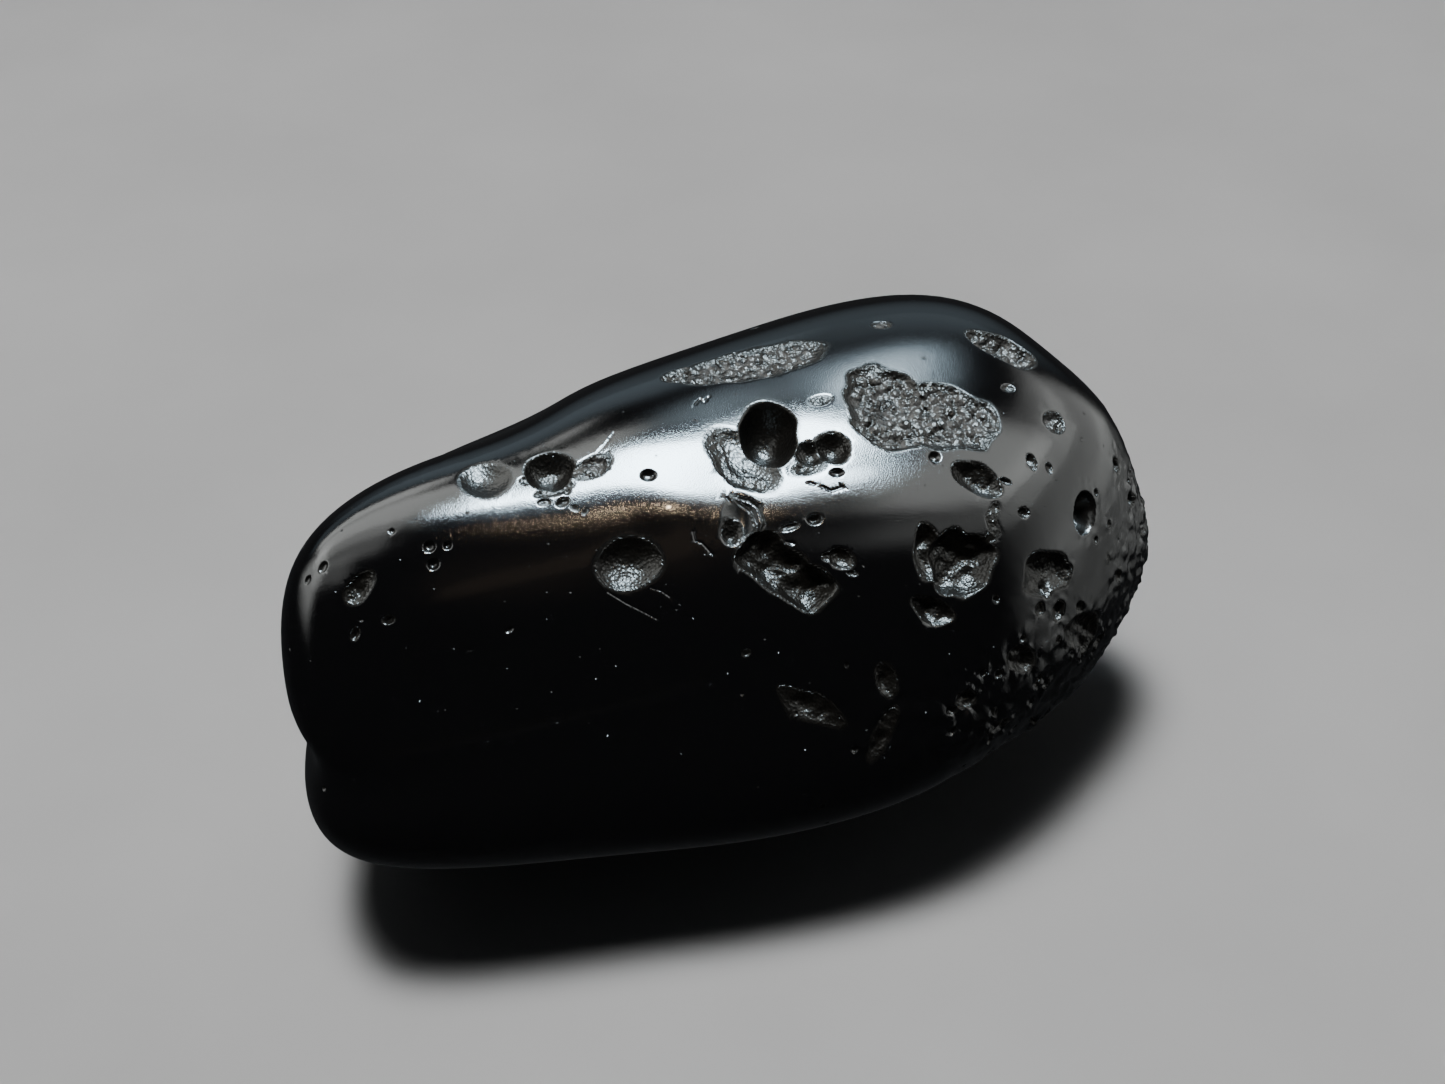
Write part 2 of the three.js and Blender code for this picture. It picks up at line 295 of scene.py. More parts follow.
# Smooth noise is a sum of plane waves, whose lengths spread around the wanted width.
WAVE_COUNT = 24
WAVE_SHORTEST = 0.7
WAVE_LONGEST = 1.5

# How often the first ball is split, and how often edges are marked before each further split.
START_LEVEL = 5
MARKING_ROUNDS = 3
# The fine skin's longest edges, for each kind of place, and as a share of a hollow's width.
FACET_SMOOTH = 0.56
FACET_WRINKLED = 0.28
FACET_PIT = 0.135
FACET_ETCHED = 0.085
FACET_SHARE = 0.18
SCRATCH_FACET_SHARE = 0.36
FACET_FINEST = 0.045
# The finely faceted ring around a hollow: at most this wide, and at most this share of its width.
PIT_MARGIN = 0.12
MARGIN_SHARE = 0.2

# ---- Skin ---------------------------------------------------------------------------------------

UP = np.array([0.0, 0.0, 1.0])
LENGTHWISE = np.array([1.0, 0.0, 0.0])


def unit_vector(azimuth, elevation):
    """The direction of that azimuth and elevation."""
    a = math.radians(azimuth)
    e = math.radians(elevation)
    return np.array([math.cos(a) * math.cos(e), math.sin(a) * math.cos(e), math.sin(e)])


def unit(vectors):
    """The vectors at length 1."""
    return vectors / np.linalg.norm(vectors, axis=-1, keepdims=True)


def turned(first, second, degrees):
    """Two square axes turned in their own plane."""
    cosine = math.cos(math.radians(degrees))
    sine = math.sin(math.radians(degrees))
    return cosine * first + sine * second, cosine * second - sine * first


def spot(directions, azimuth, elevation, half_length, half_width, turn=0):
    """A round-edged spot on the skin: 1 at its middle, falling to nothing around it."""
    centre = unit_vector(azimuth, elevation)
    east = unit(np.cross(UP, centre))
    along, across = turned(east, np.cross(centre, east), turn)
    forward = directions @ centre
    x = np.degrees(np.arctan2(directions @ along, forward)) / half_length
    y = np.degrees(np.arctan2(directions @ across, forward)) / half_width
    return np.exp(-(x * x + y * y))


FACE_NORMALS = np.array([unit_vector(*place) for *place, _ in FACES.values()])
FACE_DISTANCES = np.array([distance for *_, distance in FACES.values()])


def skin_points(directions):
    """Points of the worn skin, before any pit, in the given unit directions from the heart."""
    facing = np.maximum(directions @ FACE_NORMALS.T, 0) / FACE_DISTANCES
    radius = (facing**WEAR).sum(axis=1) ** (-1 / WEAR)
    for *place, height in (*UNDULATIONS.values(), *RIPPLES.values()):
        radius = radius + height * spot(directions, *place)
    return HEART + directions * radius[:, None]


def skin_normals(directions):
    """Outward directions, square to the skin before any pit."""
    step = 0.01
    nearly_nothing = 1e-9
    east = unit(np.cross(UP, directions) + nearly_nothing)
    north = np.cross(directions, east)

    def change(heading):
        ahead = skin_points(unit(directions + step * heading))
        return ahead - skin_points(unit(directions - step * heading))

    return unit(np.cross(change(east), change(north)))


def waves(points, width, seed):
    """Smooth noise of about unit size and of about the given width, the same for the same seed."""
    random = np.random.default_rng(seed)
    headings = unit(random.normal(size=(WAVE_COUNT, 3)))
    lengths = width * random.uniform(WAVE_SHORTEST, WAVE_LONGEST, size=(WAVE_COUNT, 1))
    phases = random.uniform(0, 2 * math.pi, size=WAVE_COUNT)
    heights = np.sin(points @ (headings * 2 * math.pi / lengths).T + phases)
    return heights.sum(axis=1) * math.sqrt(2 / WAVE_COUNT)


def softer_maximum(a, b, width):
    """The larger of two depths, with the crease between them rounded over that width."""
    blend = np.clip(0.5 + 0.5 * (a - b) / width, 0, 1)
    return b + (a - b) * blend + width * blend * (1 - blend)


# ---- Hollows ------------------------------------------------------------------------------------


class Hollow:
    """A place where the skin is worn or etched away.

    Its share method, which each kind of hollow has, gives 0 in the middle and 1 on the outline.
    """

    def __init__(self, middle, reach, width, depth, kind):
        self.floor, wander, self.lumps, self.etch, self.frost = KINDS[kind]
        self.width, self.depth, self.wander = width, depth, wander * width
        self.rim = SCRATCH_RIM if kind == "scratch" else min(RIM_ROUND, RIM_SHARE * width)
        self.margin = min(PIT_MARGIN, MARGIN_SHARE * width) + self.wander
        self.middle = middle
        nearness = (reach + 2 * self.margin) / np.linalg.norm(skin_points(middle[None])[0] - HEART)
        self.cos_reach = math.cos(nearness)

    def near(self, directions):
        """Numbers of the directions that may be touched by this hollow."""
        return np.flatnonzero(directions @ self.middle > self.cos_reach)

    def facet(self):
        """The longest edge that shows this hollow well."""
        largest = FACET_ETCHED if self.etch else FACET_PIT / (1 + self.depth / self.width)
        share = FACET_SHARE if self.rim > SCRATCH_RIM else SCRATCH_FACET_SHARE
        return min(largest, max(FACET_FINEST, share * self.width))

    def depths(self, points, wander, lumps):
        """How far under the skin the floor lies, and less than nothing outside the outline."""
        share = np.minimum(self.share(points + self.wander * wander), FARTHEST_SHARE)
        inside = np.clip((LUMPS_GONE - share) / (LUMPS_GONE - LUMPS_FULL), 0, 1)
        return self.depth * (1 - share**self.floor) + self.lumps * inside * lumps


class Pit(Hollow):
    """An oval hollow."""

    def __init__(self, direction, length, width, depth, turn, kind):
        super().__init__(direction, max(length, width) / 2, width, depth, kind)
        self.centre = skin_points(direction[None])[0]
        self.normal = skin_normals(direction[None])[0]
        lengthwise = unit(LENGTHWISE - self.normal * (LENGTHWISE @ self.normal))
        self.along, self.across = turned(lengthwise, np.cross(self.normal, lengthwise), turn)
        self.length = length

    def share(self, points):
        away = points - self.centre
        return 2 * np.hypot(away @ self.along / self.length, away @ self.across / self.width)


class Groove(Hollow):
    """A hollow of even width along a path on the skin."""

    def __init__(self, width, depth, kind, *places):
        directions = np.array([unit_vector(*place) for place in places])
        self.path = skin_points(directions)
        middle = self.path.mean(axis=0)
        reach = np.linalg.norm(self.path - middle, axis=1).max() + width
        super().__init__(unit(middle - HEART), reach, width, depth, kind)

    def share(self, points):
        distance = np.full(len(points), np.inf)
        for start, end in zip(self.path[:-1], self.path[1:]):
            step = end - start
            along = np.clip((points - start) @ step / (step @ step), 0, 1)
            away = points - start - along[:, None] * step
            distance = np.minimum(distance, np.linalg.norm(away, axis=1))
        return 2 * distance / self.width


def crater(azimuth, elevation, length, width, depth, turn, further, kind):
    """A pit, with a rough crater's further bowls inside its rim."""
    main = Pit(unit_vector(azimuth, elevation), length, width, depth, turn, kind)
    made = [main]
    size = BOWL_SIZE * min(length, width)
    for i in range(further):
        angle = BOWL_START + 2 * math.pi * i / further
        lengthwise = math.cos(angle) * length * main.along
        crosswise = math.sin(angle) * width * main.across
        beside = main.centre + BOWL_REACH / 2 * (lengthwise + crosswise)
        stretched = size * (1 + BOWL_STRETCH * math.cos(2 * angle))
        made.append(Pit(unit(beside - HEART), stretched, size, BOWL_DEPTH * depth, turn, kind))
    return made


def scattered_pits():
    """Small pits at random places, sizes and turns within each spread."""
    random = np.random.default_rng(SCATTER_SEED)
    made = []
    for azimuth, elevation, *spread, count, smallest, largest, kind in SCATTERS.values():
        centre = unit_vector(azimuth, elevation)
        east = unit(np.cross(UP, centre))
        north = np.cross(centre, east)
        for _ in range(count):
            x, y = np.radians(random.normal(size=2) * spread) / SCATTER_TIGHTNESS
            size = smallest + (largest - smallest) * random.random() ** SCATTER_SMALLNESS
            width = size * random.uniform(SCATTER_FLATTEST, 1)
            turn = random.uniform(0, 180)
            direction = unit(centre + math.tan(x) * east + math.tan(y) * north)
            made.append(Pit(direction, size, width, SCATTER_DEPTH * width, turn, kind))
    return made


def all_hollows():
    """Every pit, groove and scratch of the stone."""
    made = [pit for values in PITS.values() for pit in crater(*values)]
    for azimuth, elevation, *values in CRUMBS.values():
        made.append(Pit(unit_vector(azimuth, elevation), *values))
    return made + [Groove(*values) for values in GROOVES.values()] + scattered_pits()


# ---- The fine mesh ------------------------------------------------------------------------------


def first_ball():
    """Directions and triangles of an evenly split icosahedron."""
    ball = bmesh.new()
    bmesh.ops.create_icosphere(ball, subdivisions=START_LEVEL + 1, radius=1)
    directions = np.array([vertex.co for vertex in ball.verts])
    triangles = np.array([[vertex.index for vertex in face.verts] for face in ball.faces])
    ball.free()
    return unit(directions), triangles


def edges_of(triangles):
    """Each edge once, and the number of each triangle's three edges."""
    pairs = np.stack([triangles, np.roll(triangles, -1, axis=1)], axis=2).reshape(-1, 2)
    edges, numbers = np.unique(np.sort(pairs, axis=1), axis=0, return_inverse=True)
    return edges, numbers.reshape(-1, 3)


def wanted_lengths(directions, points, hollows):
    """The longest edge that the detail at each point allows."""
    wanted = np.full(len(directions), FACET_SMOOTH)
    for *place, _ in WRINKLES.values():
        wanted[spot(directions, *place) > WRINKLED_FROM] = FACET_WRINKLED
    for hollow in hollows:
        near = hollow.near(directions)
        inside = near[hollow.share(points[near]) < 1 + 2 * hollow.margin / hollow.width]
        wanted[inside] = np.minimum(wanted[inside], hollow.facet())
    return wanted


def split_triangles(triangles, numbers, middles):
    """Splits each triangle at its edges' middles, which are vertex numbers, or -1 for no split."""
    cut = middles[numbers]
    # 1, 2 and 4 stand for a triangle's first, second and third edge, and 7 for all of them.
    code = (cut >= 0) @ np.array([1, 2, 4])
    made = [triangles[code == 0]]
    for turn, (one, two) in enumerate(((1, 3), (2, 6), (4, 5))):
        a, b, c = np.roll(triangles[code == one], -turn, axis=1).T
        ab = cut[code == one][:, turn]
        made += [np.stack([a, ab, c], 1), np.stack([ab, b, c], 1)]
        a, b, c = np.roll(triangles[code == two], -turn, axis=1).T
        ab, bc = cut[code == two][:, turn], cut[code == two][:, (turn + 1) % 3]
        made += [np.stack([ab, b, bc], 1), np.stack([a, ab, bc], 1), np.stack([a, bc, c], 1)]
    a, b, c = triangles[code == 7].T
    ab, bc, ca = cut[code == 7].T
    four = ((a, ab, ca), (ab, b, bc), (ca, bc, c), (ab, bc, ca))
    made += [np.stack(corners, 1) for corners in four]
    return np.concatenate(made)


def fine_ball(hollows):
    """Directions and triangles, split until no edge on the skin is longer than it should be."""
    directions, triangles = first_ball()
    while True:
        edges, numbers = edges_of(triangles)
        points = skin_points(directions)
        lengths = np.linalg.norm(points[edges[:, 0]] - points[edges[:, 1]], axis=1)
        between = unit(directions[edges].sum(axis=1))
        long = lengths > wanted_lengths(between, points[edges].mean(axis=1), hollows)
        if not long.any():
            return directions, triangles
        # A triangle with a marked edge has its longest edge marked too, so that none gets thin.
        longest = numbers[np.arange(len(numbers)), lengths[numbers].argmax(axis=1)]
        for _ in range(MARKING_ROUNDS):
            long[longest[long[numbers].any(axis=1)]] = True
        middles = np.full(len(edges), -1)
        middles[long] = len(directions) + np.arange(long.sum())
        directions = np.concatenate([directions, between[long]])
        triangles = split_triangles(triangles, numbers, middles)


def wrinkle_depths(directions, points):
    """How deep the wrinkles of the rough patches are: narrow ridges between broad dips."""
    broad = waves(points, WRINKLE_WIDTH, WRINKLE_SEEDS[0])
    fine = waves(points, FINE_WRINKLE_WIDTH * WRINKLE_WIDTH, WRINKLE_SEEDS[1])
    rough = np.zeros(len(points))
    for *place, height in WRINKLES.values():
        rough = np.maximum(rough, height * spot(directions, *place))
    return rough * (1 - np.abs(broad) + FINE_WRINKLE_HEIGHT * fine)


def carved_skin(directions, hollows):
    """Points of the finished skin, and how frosted and how etched each is."""
    points = skin_points(directions)
    normals = skin_normals(directions)
    wander = np.stack([waves(points, WANDER_WIDTH, seed) for seed in WANDER_SEEDS], axis=1)
    lumps = LUMP_HEIGHT * waves(points, LUMP_WIDTH, LUMP_SEED)
    depth, frost, etch = np.zeros((3, len(points)))
    for hollow in hollows:
        near = hollow.near(directions)
        found = hollow.depths(points[near], wander[near], lumps[near])
        depth[near] = softer_maximum(depth[near], found, hollow.rim)
        inside = found / hollow.depth
        frosted = hollow.frost * np.clip((inside + FROST_START) / FROST_SPREAD, 0, 1)
        frost[near] = np.maximum(frost[near], frosted)
        etched = hollow.etch * np.clip((inside - ETCH_START) / ETCH_SPREAD, 0, 1)
        etch[near] = np.maximum(etch[near], etched)
    depth = depth + wrinkle_depths(directions, points)
    depth = depth + SWELL_HEIGHT * waves(points, SWELL_WIDTH, SWELL_SEED)
    points = points - normals * depth[:, None]
    points[:, 2] = np.maximum(points[:, 2], 0)
    return points, frost, etch


def add_mesh(name, points, triangles):
    """A piece of that name with smooth shading."""
    mesh = bpy.data.meshes.new(name)
    mesh.from_pydata(points.tolist(), [], triangles.tolist())
    mesh.polygons.foreach_set("use_smooth", np.ones(len(mesh.polygons), bool))
    piece = bpy.data.objects.new(name, mesh)
    bpy.context.collection.objects.link(piece)
    return piece


def add_values(piece, name, values):
    """Keeps a value at each vertex, for the material and the geometry nodes."""
    attribute = piece.data.attributes.new(name, "FLOAT", "POINT")
    attribute.data.foreach_set("value", values.astype(np.float32))


# ---- Node trees ---------------------------------------------------------------------------------


class Wire:
    """A node's output socket, on which arithmetic writes Math nodes."""

    def __init__(self, tree, socket):
        self.tree, self.socket = tree, socket

    def math(self, operation, *values):
        return self.tree.add("ShaderNodeMath", {"operation": operation}, dict(enumerate(values)))

    def __add__(self, other):
        return self.math("ADD", self, other)

    def __radd__(self, other):
        return self.math("ADD", other, self)

    def __sub__(self, other):
        return self.math("SUBTRACT", self, other)

    def __rsub__(self, other):
        return self.math("SUBTRACT", other, self)

    def __mul__(self, other):
        return self.math("MULTIPLY", self, other)

    def __rmul__(self, other):
        return self.math("MULTIPLY", other, self)

    def __truediv__(self, other):
        return self.math("DIVIDE", self, other)

    def least(self, other):
        return self.math("MINIMUM", self, other)

    def greatest(self, other):
        return self.math("MAXIMUM", self, other)

    def clamped(self):
        return self.greatest(0.0).least(1.0)


class Tree:
    """A node tree that is written node by node."""

    def __init__(self, tree):
        self.tree = tree
        self.tree.nodes.clear()

    def add(self, kind, settings=None, sockets=None, out=0):
        """A node of that type: its settings first, then the values or wires of its sockets."""
        node = self.tree.nodes.new(kind)
        for name, value in (settings or {}).items():
            if name == "stops":
                self.set_stops(node.color_ramp, value)
            else:
                setattr(node, name, value)
        for name, value in (sockets or {}).items():
            if isinstance(value, Wire):
                self.tree.links.new(value.socket, node.inputs[name])
            else:
                node.inputs[name].default_value = value
        return Wire(self, node.outputs[out]) if node.outputs else None

    @staticmethod
    def set_stops(ramp, stops):
        while len(ramp.elements) < len(stops):
            ramp.elements.new(0.5)
        for element, (place, value) in zip(ramp.elements, stops):
            element.position = place
            element.color = (value, value, value, 1)


def new_material(name):
    """An empty material and its node tree."""
    material = bpy.data.materials.new(name)
    material.use_nodes = True
    return material, Tree(material.node_tree)


# ---- Etched crater floors -----------------------------------------------------------------------

# Small round blobs of glass on the floors: how far apart and how wide and high they are, and how
# many of them are tried on each square metre.
DROPLET_SPACING = 0.25 * MM
DROPLET_RADIUS = 0.21 * MM
DROPLET_HEIGHT = 0.12 * MM
DROPLET_DENSITY = 40.0 / MM**2
DROPLET_SEED = 7


def droplet_tree(material):
    """Geometry nodes that raise droplets on the etched floors of the craters, and their inputs."""
    group = bpy.data.node_groups.new("etched_floors", "GeometryNodeTree")
    sockets = group.interface
    sockets.new_socket("Geometry", in_out="INPUT", socket_type="NodeSocketGeometry")
    inputs = {}
    for name, kind, value in (
        ("Spacing", "NodeSocketFloat", DROPLET_SPACING),
        ("Radius", "NodeSocketFloat", DROPLET_RADIUS),
        ("Height", "NodeSocketFloat", DROPLET_HEIGHT),
        ("Density", "NodeSocketFloat", DROPLET_DENSITY),
        ("Seed", "NodeSocketInt", DROPLET_SEED),
        ("Finish", "NodeSocketMaterial", material),
    ):
        socket = sockets.new_socket(name, in_out="INPUT", socket_type=kind)
        inputs[socket.identifier] = value
    sockets.new_socket("Geometry", in_out="OUTPUT", socket_type="NodeSocketGeometry")
    tree = Tree(group)
    entry = tree.add("NodeGroupInput").socket.node
    given = {socket.name: Wire(tree, socket) for socket in entry.outputs if socket.name}
    named = {"data_type": "FLOAT"}
    etch = tree.add("GeometryNodeInputNamedAttribute", named, {"Name": "etch"})
    centres = tree.add(
        "GeometryNodeDistributePointsOnFaces",
        {"distribute_method": "POISSON"},
        {
            "Mesh": given["Geometry"],
            "Distance Min": given["Spacing"],
            "Density Max": given["Density"],
            "Density Factor": etch,
            "Seed": given["Seed"],
        },
    )
    to_points = {"target_element": "POINTS"}
    distance = tree.add("GeometryNodeProximity", to_points, {0: centres}, out=1)
    share = (distance / given["Radius"]).least(1.0)
    rise = (1.0 - share * share) * given["Height"] * etch
    normal = tree.add("GeometryNodeInputNormal")
    scaled = {"operation": "SCALE"}
    offset = tree.add("ShaderNodeVectorMath", scaled, {0: normal, "Scale": rise})
    moved = {"Geometry": given["Geometry"], "Offset": offset}
    raised = tree.add("GeometryNodeSetPosition", None, moved)
    real = tree.add("GeometryNodeRealizeInstances", None, {"Geometry": raised})
    coated = {"Geometry": real, "Material": given["Finish"]}
    finished = tree.add("GeometryNodeSetMaterial", None, coated)
    tree.add("NodeGroupOutput", None, {"Geometry": finished})
    return group, inputs


def apply_tree(piece, group, inputs):
    """Runs a geometry node tree on a piece and keeps the result as its plain mesh."""
    modifier = piece.modifiers.new(group.name, "NODES")
    modifier.node_group = group
    for identifier, value in inputs.items():
        modifier[identifier] = value
    evaluated = piece.evaluated_get(bpy.context.evaluated_depsgraph_get())
    plain = bpy.data.meshes.new_from_object(evaluated)
    piece.modifiers.remove(modifier)
    piece.data = plain


# ---- Materials ----------------------------------------------------------------------------------

GLASS_BLACK = (0.004, 0.004, 0.0045, 1)
GLASS_FROSTED = (0.010, 0.009, 0.0075, 1)
GLASS_ETCHED = (0.10, 0.10, 0.097, 1)
# How many features each texture has along a metre.
HAZE_SCALE = 22000.0
CLOUD_SCALE = 420.0
CRUMBLE_SCALE = 3600.0
SUGAR_SCALE = 9000.0
CHALK_SCALE = 2700.0
SPECK_SCALE = 1300.0
FINE_SPECK_SCALE = 2900.0
# Heights of the finest relief, in millimetres.
HAZE_HEIGHT = 0.004
CRUMBLE_HEIGHT = 0.08
SUGAR_HEIGHT = 0.03
SPECK_DEPTH = 0.05
# The largest speck's radius as a share of its cell, and the share of the cells that have none.
SPECK_SIZE = 0.14
SPECKLESS = 0.55
# The frosting from which the glass starts to crumble.
CRUMBLE_START = 0.82
# The polished skin is least rough where the cloud is nothing, and has a clear coat of polish.
POLISH_ROUGHNESS = 0.055
CLOUD_ROUGHNESS = 0.045
POLISH_COAT = 0.5
POLISH_COAT_ROUGHNESS = 0.03
POLISH_COAT_IOR = 1.4
GLASS_IOR = 1.5
FROST_ROUGHNESS = 0.30
ETCH_ROUGHNESS_LOSS = 0.07
# The frosted glass's lower index dims its reflection in the hollows: painted shade, standing in for the
# shade inside them.
FROST_SHADE_IOR = 1.35
FROST_TINT = (1, 0.98, 0.94, 1)
# Chalky patches fade in between these levels of their texture.
CHALK_NONE = 0.40
CHALK_FULL = 0.60


def specks(tree, place, scale):
    """Tiny scattered pits in some of a pattern's cells: 1 in a pit's middle, 0 outside it."""
    cells = {"Vector": place, "Scale": scale}
    distance = tree.add("ShaderNodeTexVoronoi", None, cells)
    cell = tree.add("ShaderNodeTexVoronoi", None, cells, out=2)
    chance = tree.add("ShaderNodeTexWhiteNoise", None, {"Vector": cell})
    nearly_nothing = 0.0001
    widest = SPECK_SIZE / (1 - SPECKLESS)
    size = (chance - SPECKLESS).greatest(0.0) * widest + nearly_nothing
    return (1.0 - distance / size).clamped()


def noise(tree, place, scale, detail):
    """A cloudy texture on the piece's own coordinates."""
    sockets = {"Vector": place, "Scale": scale, "Detail": detail}
    return tree.add("ShaderNodeTexNoise", None, sockets)


def finest_relief(tree, place, frost):
    """The relief that is too fine for the mesh, as bent normals."""
    haze = noise(tree, place, HAZE_SCALE, 2.0)
    crumble = noise(tree, place, CRUMBLE_SCALE, 4.0)
    sugar = tree.add("ShaderNodeTexVoronoi", None, {"Vector": place, "Scale": SUGAR_SCALE})
    large = specks(tree, place, SPECK_SCALE)
    speck = large.greatest(specks(tree, place, FINE_SPECK_SCALE))
    crumbly = ((frost - CRUMBLE_START) / (1 - CRUMBLE_START)).clamped()
    height = (
        haze * HAZE_HEIGHT
        + crumble * CRUMBLE_HEIGHT * crumbly
        + sugar * SUGAR_HEIGHT * frost * frost * frost
        - speck * SPECK_DEPTH
    )
    return tree.add("ShaderNodeBump", None, {"Height": height, "Strength": 1.0, "Distance": MM})


def tektite_glass():
    """Opaque black natural glass, polished with a fine haze, and frosted in its hollows, where its
    reflection is dimmed as painted shade.
    """
    material, tree = new_material("tektite_glass")
    place = tree.add("ShaderNodeTexCoord", out=3)
    frost = tree.add("ShaderNodeAttribute", {"attribute_name": "frost"}, out=2)
    etch = tree.add("ShaderNodeAttribute", {"attribute_name": "etch"}, out=2)
    cloud = noise(tree, place, CLOUD_SCALE, 3.0)
    relief = finest_relief(tree, place, frost)
    polished = tree.add(
        "ShaderNodeBsdfPrincipled",
        None,
        {
            "Base Color": GLASS_BLACK,
            "Roughness": POLISH_ROUGHNESS + cloud * CLOUD_ROUGHNESS,
            "IOR": GLASS_IOR,
            "Coat Weight": POLISH_COAT,
            "Coat Roughness": POLISH_COAT_ROUGHNESS,
            "Coat IOR": POLISH_COAT_IOR,
            "Normal": relief,
        },
    )
    chalk = {"Fac": noise(tree, place, CHALK_SCALE, 2.0)}
    fade = {"stops": ((CHALK_NONE, 0.0), (CHALK_FULL, 1.0))}
    chalky = tree.add("ShaderNodeValToRGB", fade, chalk)
    shades = {0: chalky * etch, 6: GLASS_FROSTED, 7: GLASS_ETCHED}
    # Frosted glass in the hollows: rough and a little paler, with a dimmer reflection that is painted
    # shade.
    pale = tree.add("ShaderNodeMix", {"data_type": "RGBA"}, shades, out=2)
    frosted = tree.add(
        "ShaderNodeBsdfPrincipled",
        None,
        {
            "Base Color": pale,
            "Roughness": FROST_ROUGHNESS - etch * ETCH_ROUGHNESS_LOSS,
            "IOR": FROST_SHADE_IOR,
            "Specular Tint": FROST_TINT,
            "Normal": relief,
        },
    )
    glass = tree.add("ShaderNodeMixShader", None, {0: frost, 1: polished, 2: frosted})
    tree.add("ShaderNodeOutputMaterial", None, {"Surface": glass})
    return material


FLOOR_MOTTLE_SCALE = 60.0
FLOOR_DARKEST = 0.50
FLOOR_PALEST = 0.56
FLOOR_ROUGHNESS = 0.9


def pale_floor():
    """Matt grey, very faintly mottled."""
    material, tree = new_material("pale_floor")
    place = tree.add("ShaderNodeTexCoord", out=3)
    mottle = noise(tree, place, FLOOR_MOTTLE_SCALE, 5.0)
    greys = {"stops": ((0.3, FLOOR_DARKEST), (0.7, FLOOR_PALEST))}
    grey = tree.add("ShaderNodeValToRGB", greys, {"Fac": mottle})
    matt = {"Base Color": grey, "Roughness": FLOOR_ROUGHNESS, "Specular IOR Level": 0.0}
    surface = tree.add("ShaderNodeBsdfPrincipled", None, matt)
    tree.add("ShaderNodeOutputMaterial", None, {"Surface": surface})
    return material


# ---- The stone ----------------------------------------------------------------------------------


def tektite():
    """The whole stone, on the ground."""
    hollows = all_hollows()
    directions, triangles = fine_ball(hollows)
    points, frost, etch = carved_skin(directions, hollows)
    stone = add_mesh("tektite_skin", points * MM, triangles)
    add_values(stone, "frost", frost)
    add_values(stone, "etch", etch)
    glass = tektite_glass()
    stone.data.materials.append(glass)
    apply_tree(stone, *droplet_tree(glass))
    return stone


# ---- Camera, floor and light --------------------------------------------------------------------

# Which way the camera's right points, and how high the camera stands, in degrees.
CAMERA_AZIMUTH = -20
CAMERA_ELEVATION = 38
CAMERA_DISTANCE = 76.2
CAMERA_LENS = 55
# The nearest that the camera sees, and how far right of and above the heart it looks.
CAMERA_NEAREST = 5
LOOK_RIGHT = 0.43
LOOK_UP = 1.24
FLOOR_SIZE = 1600


def camera_axes():
    """The camera's right, up and backward directions."""
    right = unit_vector(CAMERA_AZIMUTH, 0)
    back = unit_vector(CAMERA_AZIMUTH - 90, CAMERA_ELEVATION)
    return right, np.cross(back, right), back


def add_camera():
    """The camera, above and before the stone and looking just past its heart."""
    right, up, back = camera_axes()
    data = bpy.data.cameras.new("camera")
    data.lens = CAMERA_LENS
    data.clip_start = CAMERA_NEAREST * MM
    camera = bpy.data.objects.new("camera", data)
    place = HEART + LOOK_RIGHT * right + LOOK_UP * up + CAMERA_DISTANCE * back
    facing = Matrix((right, up, back)).transposed().to_4x4()
    camera.matrix_world = Matrix.Translation(Vector(place * MM)) @ facing
    bpy.context.collection.objects.link(camera)
    bpy.context.scene.camera = camera


def add_floor():
    """The plain floor under the stone, which shows no reflection in it."""
    half = FLOOR_SIZE * MM / 2
    corners = np.array([(-half, -half, 0), (half, -half, 0), (half, half, 0), (-half, half, 0)])
    floor = add_mesh("floor", corners, np.array([(0, 1, 2), (0, 2, 3)]))
    floor.data.materials.append(pale_floor())
    floor.visible_glossy = False


def soften(light, shares):
    """Lets a panel fade out towards its edges, over those shares of its width and length."""
    light.use_nodes = True
    tree = Tree(light.node_tree)
    across = tree.add("ShaderNodeNewGeometry", out=5)
    brightness = 1.0
    for out, share in enumerate(shares):
        part = tree.add("ShaderNodeSeparateXYZ", None, {0: across}, out=out)
        brightness = brightness * (part.least(1.0 - part) / share).clamped()
    glow = tree.add("ShaderNodeEmission", None, {"Strength": brightness})
    tree.add("ShaderNodeOutputLight", None, {"Surface": glow})


def add_panel(name, place, size, aim, radiance, colour, softness, lit="glossy"):
    """A soft panel of that size, in mm, as bright as its radiance says.

    Its place and aim are in mm from the stone's heart: right, away and up as the camera stands. It
    lights either the reflections or the matt surfaces.
    """
    right, _, _ = camera_axes()
    away = np.cross(UP, right)
    axes = np.array([right, away, UP])
    place = HEART + np.array(place) @ axes
    aim = HEART + np.array(aim) @ axes
    data = bpy.data.lights.new(name, "AREA")
    data.shape = "RECTANGLE"
    data.size, data.size_y = size[0] * MM, size[1] * MM
    data.energy = radiance * math.pi * data.size * data.size_y
    data.color = colour
    soften(data, softness)
    light = bpy.data.objects.new(name, data)
    forward = unit(aim - place)
    hangs_level = abs(forward[2]) > 0.9
    sideways = unit(np.cross(forward, away if hangs_level else UP))
    upward = np.cross(sideways, forward)
    facing = Matrix((sideways, upward, -forward)).transposed().to_4x4()
    light.matrix_world = Matrix.Translation(Vector(place * MM)) @ facing
    light.visible_diffuse = lit == "diffuse"
    light.visible_glossy = lit == "glossy"
    bpy.context.collection.objects.link(light)


# Each panel overhead hangs a little under the one before, so that both are seen where two overlap.
CEILING = 420
CEILING_STEP = 4
WHITE = (1.0, 1.0, 1.0)
BLUISH = (0.68, 0.87, 1.0)
NEUTRAL = (0.97, 1.0, 0.98)
AMBER = (1.0, 0.62, 0.30)
AMBER_WHITE = (1.0, 0.80, 0.55)
BROWN = (1.0, 0.74, 0.52)
